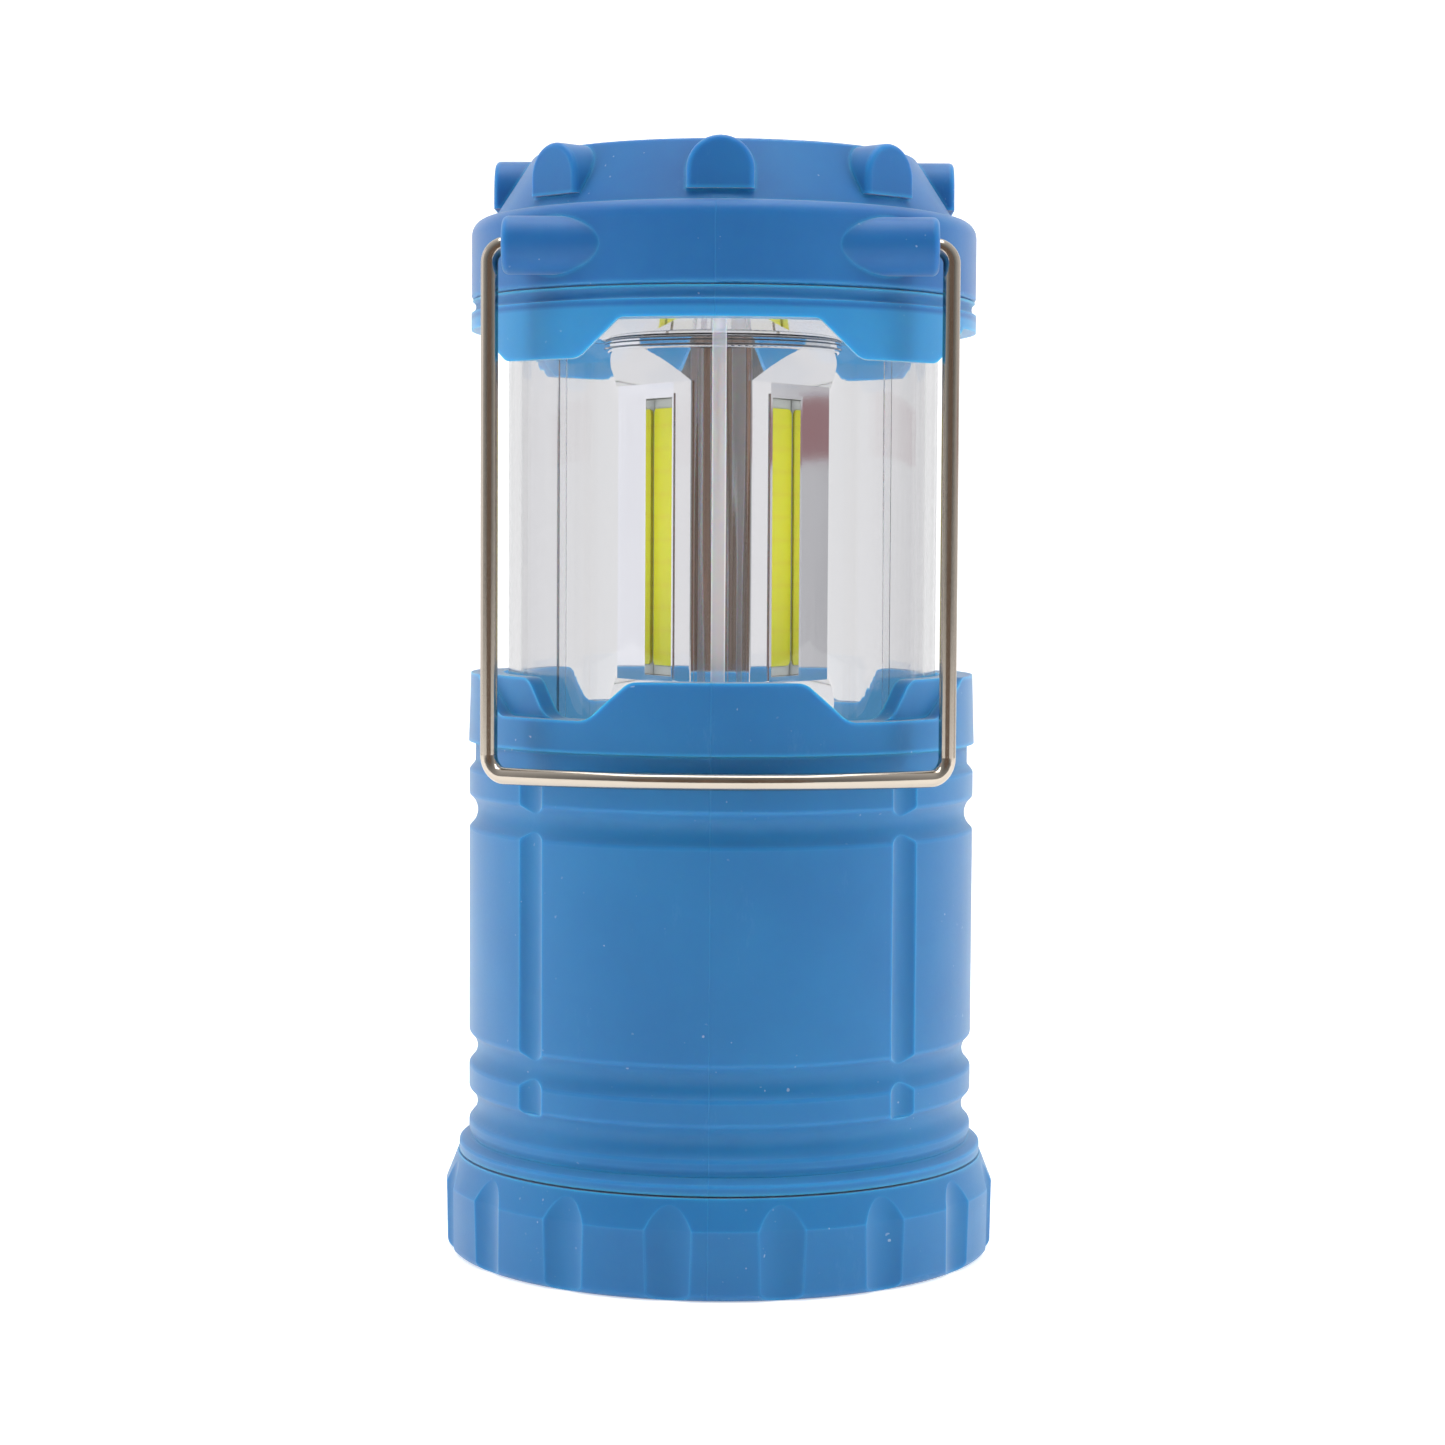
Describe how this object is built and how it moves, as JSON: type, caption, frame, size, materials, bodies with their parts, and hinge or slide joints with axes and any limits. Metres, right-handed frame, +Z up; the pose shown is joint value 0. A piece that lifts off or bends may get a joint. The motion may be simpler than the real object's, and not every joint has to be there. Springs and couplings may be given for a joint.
{
  "type": "camping lantern",
  "caption": "Collapsible round camping lantern: a clear globe and cap pull up out of a grooved body, with a bail handle and a scalloped screw-off base",
  "frame": {"origin": "centre of the base's underside, on the lantern's axis", "axes": "+Z up along the lantern's axis, -Y to the side that carries the handle, +X to the right seen from that side"},
  "size_m": [0.0904, 0.0904, 0.1784],
  "materials": {
    "blue_plastic": "fine matte moulding texture",
    "seal_rubber": "smooth",
    "inner_plastic": "moulded",
    "spring_steel": "drawn wire",
    "contact_nickel": "nickel plated",
    "cell_jacket": "shrink sleeve",
    "screw_steel": "zinc plated",
    "clear_globe": "clear moulded plastic, see-through",
    "reflector_chrome": "vacuum metallised plastic, mirror bright",
    "board_aluminium": "white-grey solder mask",
    "phosphor": "phosphor silicone",
    "circuit_board": "solder mask",
    "lead_insulation": "wire insulation",
    "handle_nickel": "nickel plated wire"
  },
  "bodies": {
    "housing": {"body_shell": "blue_plastic", "lower_collar": "blue_plastic", "seal_ring": "seal_rubber", "battery_holder": "inner_plastic", "battery_cells": "cell_jacket", "cell_contacts": "contact_nickel", "contact_strips": "contact_nickel", "deck_screws": "screw_steel"},
    "contact_carrier": {"contact_plate": "inner_plastic", "bridge_contacts": "contact_nickel", "battery_springs": "spring_steel"},
    "base": {"base_cover": "blue_plastic", "plate_clip": "spring_steel"},
    "lamp_unit": {"globe": "clear_globe", "reflector_post": "reflector_chrome", "led_boards": "board_aluminium", "phosphor_strips": "phosphor", "ceiling_reflector": "reflector_chrome", "carrier": "inner_plastic", "contact_leaves": "contact_nickel", "top_plate": "inner_plastic", "driver_board": "circuit_board", "leads": "lead_insulation", "globe_screws": "screw_steel", "post_foot_screws": "screw_steel", "post_top_screws": "screw_steel", "cap_screws": "screw_steel", "upper_collar": "blue_plastic", "cap": "blue_plastic"},
    "bail": {"handle": "handle_nickel"}
  },
  "joints": [
    {"name": "lamp_slide", "type": "slide", "parent": "housing", "child": "lamp_unit", "axis": [0, 0, 1], "range_m": [-0.0555, 0]},
    {"name": "handle_swing", "type": "hinge", "parent": "lamp_unit", "child": "bail", "pos_m": [0, -0.03235, 0.1617], "axis": [-1, 0, 0], "range_deg": [0, 225]},
    {"name": "cover_drop", "type": "slide", "parent": "housing", "child": "contact_carrier", "axis": [0, 0, 1], "range_m": [-0.0091, 0]},
    {"name": "cover_twist", "type": "hinge", "parent": "contact_carrier", "child": "base", "pos_m": [0, 0, 0], "axis": [0, 0, 1], "range_deg": [-1080, 0]}
  ],
  "couplings": [
    {"joint": "cover_drop", "follows": "cover_twist", "m_per_rad": 0.00047746}
  ]
}
